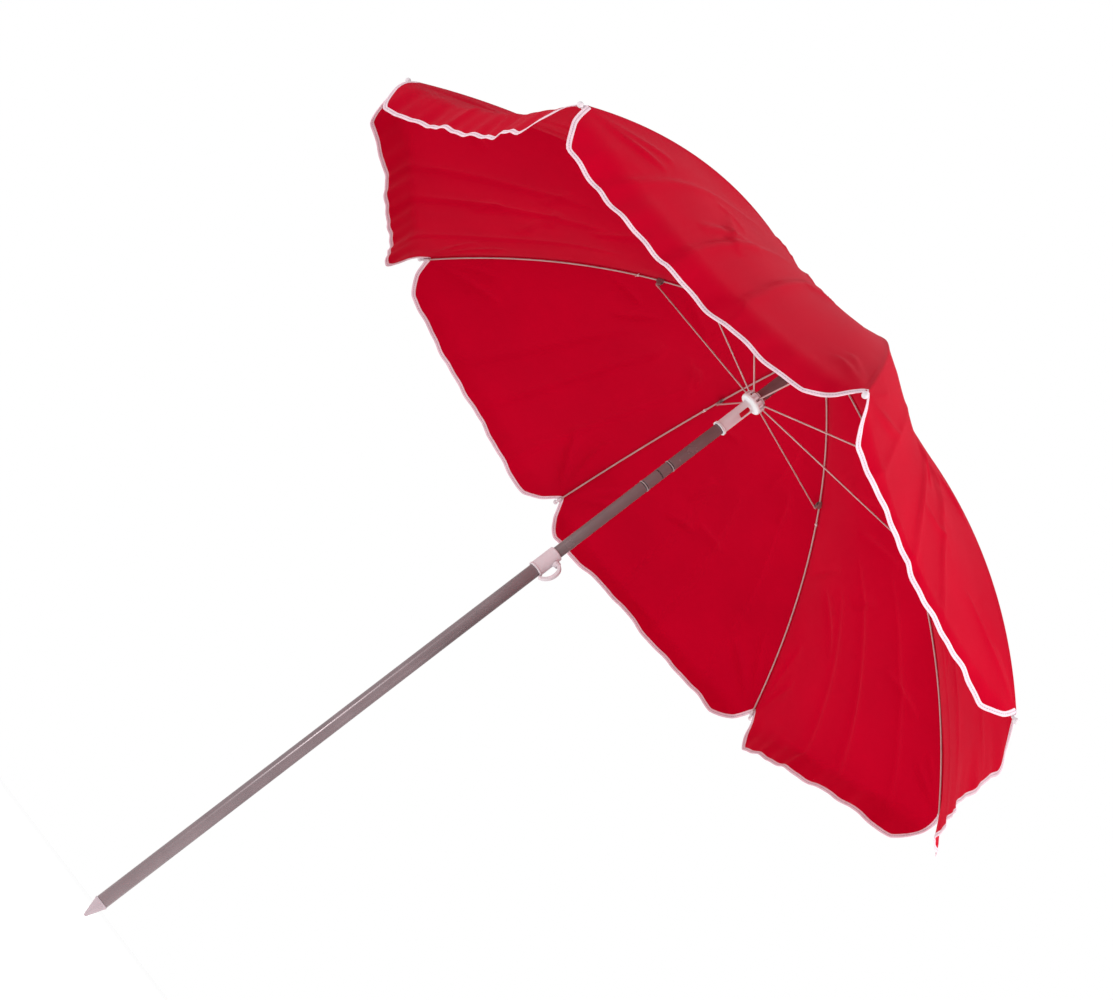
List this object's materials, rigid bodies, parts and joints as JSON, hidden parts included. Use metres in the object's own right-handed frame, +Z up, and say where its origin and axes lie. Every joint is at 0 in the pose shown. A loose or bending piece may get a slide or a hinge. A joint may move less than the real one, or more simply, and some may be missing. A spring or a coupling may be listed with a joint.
{
  "type": "beach umbrella",
  "caption": "Folding beach umbrella: bowed wire ribs, stretchers and runner, sectioned cloth canopy with bound hem, telescoping pole with clamp collar, tilt joint and ground spike.",
  "frame": {"origin": "tip of the ground spike", "axes": "+Z up the pole, +X towards the first rib"},
  "size_m": [1.6759, 1.6577, 1.678],
  "materials": {
    "pole_paint": "satin mauve-grey paint, worn",
    "white_plastic": "satin off-white moulded plastic",
    "red_plastic": "satin red moulded plastic",
    "wire_steel": "drawn wire, slightly dulled",
    "zinc": "zinc-plated",
    "red_cloth": "plain-woven red polyester with a white bias binding"
  },
  "bodies": {
    "lower_pole": {"ground_spike": "white_plastic", "lower_pole": "pole_paint", "height_collar": "white_plastic"},
    "clamp_screw": {"clamp_screw": "white_plastic"},
    "mid_pole": {"mid_pole": "pole_paint", "tilt_plug": "zinc", "tilt_pin": "wire_steel"},
    "tilt_link": {"tilt_tongue": "zinc", "tilt_spring": "wire_steel"},
    "top_pole": {"top_pole": "pole_paint", "tilt_upper_plug": "zinc", "stop_rivet": "zinc", "top_notch": "white_plastic", "notch_wire": "wire_steel", "top_cap": "white_plastic"},
    "catch": {"runner_catch": "red_plastic"},
    "runner": {"runner": "white_plastic", "runner_wire": "wire_steel"},
    "rib_1": {"rib_1": "wire_steel", "rib_clip_1": "wire_steel", "rib_tip_1": "white_plastic", "canopy_1": "red_cloth"},
    "stretcher_1": {"stretcher_1": "wire_steel"},
    "rib_2": {"rib_2": "wire_steel", "rib_clip_2": "wire_steel", "rib_tip_2": "white_plastic", "canopy_2": "red_cloth"},
    "stretcher_2": {"stretcher_2": "wire_steel"},
    "rib_3": {"rib_3": "wire_steel", "rib_clip_3": "wire_steel", "rib_tip_3": "white_plastic", "canopy_3": "red_cloth"},
    "stretcher_3": {"stretcher_3": "wire_steel"},
    "rib_4": {"rib_4": "wire_steel", "rib_clip_4": "wire_steel", "rib_tip_4": "white_plastic", "canopy_4": "red_cloth"},
    "stretcher_4": {"stretcher_4": "wire_steel"},
    "rib_5": {"rib_5": "wire_steel", "rib_clip_5": "wire_steel", "rib_tip_5": "white_plastic", "canopy_5": "red_cloth"},
    "stretcher_5": {"stretcher_5": "wire_steel"},
    "rib_6": {"rib_6": "wire_steel", "rib_clip_6": "wire_steel", "rib_tip_6": "white_plastic", "canopy_6": "red_cloth"},
    "stretcher_6": {"stretcher_6": "wire_steel"},
    "rib_7": {"rib_7": "wire_steel", "rib_clip_7": "wire_steel", "rib_tip_7": "white_plastic", "canopy_7": "red_cloth"},
    "stretcher_7": {"stretcher_7": "wire_steel"},
    "rib_8": {"rib_8": "wire_steel", "rib_clip_8": "wire_steel", "rib_tip_8": "white_plastic", "canopy_8": "red_cloth"},
    "stretcher_8": {"stretcher_8": "wire_steel"}
  },
  "joints": [
    {"name": "height_slide", "type": "slide", "parent": "lower_pole", "child": "mid_pole", "axis": [0, 0, 1], "range_m": [-0.18, 0.24]},
    {"name": "clamp_screw_turn", "type": "hinge", "parent": "lower_pole", "child": "clamp_screw", "pos_m": [-0.01516, 0.00875, 0.994], "axis": [-0.866, 0.5, 0], "range_deg": [0, 270]},
    {"name": "tilt", "type": "hinge", "parent": "mid_pole", "child": "tilt_link", "pos_m": [0, 0, 1.2483], "axis": [0, 1, 0], "range_deg": [-40, 0]},
    {"name": "tilt_lift", "type": "slide", "parent": "tilt_link", "child": "top_pole", "axis": [0, 0, 1], "range_m": [0, 0.013], "deforming": ["tilt_spring"]},
    {"name": "runner_slide", "type": "slide", "parent": "top_pole", "child": "runner", "axis": [0, 0, -1], "range_m": [0, 0.3822], "deforming": ["runner_catch"]},
    {"name": "catch_press", "type": "slide", "parent": "top_pole", "child": "catch", "axis": [0.342, -0.9397, 0], "range_m": [0, 0.0022], "stiffness_N_per_m": 400, "springref_m": -0.002},
    {"name": "rib_hinge_1", "type": "hinge", "parent": "top_pole", "child": "rib_1", "pos_m": [0.0185, 0, 1.6424], "axis": [0, 1, 0], "range_deg": [0, 36], "deforming": ["canopy_1"]},
    {"name": "stretcher_hinge_1", "type": "hinge", "parent": "rib_1", "child": "stretcher_1", "pos_m": [0.37787, 0, 1.56208], "axis": [0, 1, 0], "range_deg": [-72, 0]},
    {"name": "rib_hinge_2", "type": "hinge", "parent": "top_pole", "child": "rib_2", "pos_m": [0.01308, 0.01308, 1.6424], "axis": [-0.7071, 0.7071, 0], "range_deg": [0, 36], "deforming": ["canopy_2"]},
    {"name": "stretcher_hinge_2", "type": "hinge", "parent": "rib_2", "child": "stretcher_2", "pos_m": [0.26719, 0.26719, 1.56208], "axis": [-0.7071, 0.7071, 0], "range_deg": [-72, 0]},
    {"name": "rib_hinge_3", "type": "hinge", "parent": "top_pole", "child": "rib_3", "pos_m": [0, 0.0185, 1.6424], "axis": [-1, 0, 0], "range_deg": [0, 36], "deforming": ["canopy_3"]},
    {"name": "stretcher_hinge_3", "type": "hinge", "parent": "rib_3", "child": "stretcher_3", "pos_m": [0, 0.37787, 1.56208], "axis": [-1, 0, 0], "range_deg": [-72, 0]},
    {"name": "rib_hinge_4", "type": "hinge", "parent": "top_pole", "child": "rib_4", "pos_m": [-0.01308, 0.01308, 1.6424], "axis": [-0.7071, -0.7071, 0], "range_deg": [0, 36], "deforming": ["canopy_4"]},
    {"name": "stretcher_hinge_4", "type": "hinge", "parent": "rib_4", "child": "stretcher_4", "pos_m": [-0.26719, 0.26719, 1.56208], "axis": [-0.7071, -0.7071, 0], "range_deg": [-72, 0]},
    {"name": "rib_hinge_5", "type": "hinge", "parent": "top_pole", "child": "rib_5", "pos_m": [-0.0185, 0, 1.6424], "axis": [0, -1, 0], "range_deg": [0, 36], "deforming": ["canopy_5"]},
    {"name": "stretcher_hinge_5", "type": "hinge", "parent": "rib_5", "child": "stretcher_5", "pos_m": [-0.37787, 0, 1.56208], "axis": [0, -1, 0], "range_deg": [-72, 0]},
    {"name": "rib_hinge_6", "type": "hinge", "parent": "top_pole", "child": "rib_6", "pos_m": [-0.01308, -0.01308, 1.6424], "axis": [0.7071, -0.7071, 0], "range_deg": [0, 36], "deforming": ["canopy_6"]},
    {"name": "stretcher_hinge_6", "type": "hinge", "parent": "rib_6", "child": "stretcher_6", "pos_m": [-0.26719, -0.26719, 1.56208], "axis": [0.7071, -0.7071, 0], "range_deg": [-72, 0]},
    {"name": "rib_hinge_7", "type": "hinge", "parent": "top_pole", "child": "rib_7", "pos_m": [0, -0.0185, 1.6424], "axis": [1, 0, 0], "range_deg": [0, 36], "deforming": ["canopy_7"]},
    {"name": "stretcher_hinge_7", "type": "hinge", "parent": "rib_7", "child": "stretcher_7", "pos_m": [0, -0.37787, 1.56208], "axis": [1, 0, 0], "range_deg": [-72, 0]},
    {"name": "rib_hinge_8", "type": "hinge", "parent": "top_pole", "child": "rib_8", "pos_m": [0.01308, -0.01308, 1.6424], "axis": [0.7071, 0.7071, 0], "range_deg": [0, 36], "deforming": ["canopy_8"]},
    {"name": "stretcher_hinge_8", "type": "hinge", "parent": "rib_8", "child": "stretcher_8", "pos_m": [0.26719, -0.26719, 1.56208], "axis": [0.7071, 0.7071, 0], "range_deg": [-72, 0]}
  ],
  "couplings": [
    {"joint": "tilt_lift", "follows": "tilt", "m_per_rad": -0.0179},
    {"joint": "rib_hinge_1", "follows": "runner_slide", "rad_per_m": 1.593},
    {"joint": "stretcher_hinge_1", "follows": "runner_slide", "rad_per_m": -3.186},
    {"joint": "rib_hinge_2", "follows": "runner_slide", "rad_per_m": 1.593},
    {"joint": "stretcher_hinge_2", "follows": "runner_slide", "rad_per_m": -3.186},
    {"joint": "rib_hinge_3", "follows": "runner_slide", "rad_per_m": 1.593},
    {"joint": "stretcher_hinge_3", "follows": "runner_slide", "rad_per_m": -3.186},
    {"joint": "rib_hinge_4", "follows": "runner_slide", "rad_per_m": 1.593},
    {"joint": "stretcher_hinge_4", "follows": "runner_slide", "rad_per_m": -3.186},
    {"joint": "rib_hinge_5", "follows": "runner_slide", "rad_per_m": 1.593},
    {"joint": "stretcher_hinge_5", "follows": "runner_slide", "rad_per_m": -3.186},
    {"joint": "rib_hinge_6", "follows": "runner_slide", "rad_per_m": 1.593},
    {"joint": "stretcher_hinge_6", "follows": "runner_slide", "rad_per_m": -3.186},
    {"joint": "rib_hinge_7", "follows": "runner_slide", "rad_per_m": 1.593},
    {"joint": "stretcher_hinge_7", "follows": "runner_slide", "rad_per_m": -3.186},
    {"joint": "rib_hinge_8", "follows": "runner_slide", "rad_per_m": 1.593},
    {"joint": "stretcher_hinge_8", "follows": "runner_slide", "rad_per_m": -3.186}
  ]
}
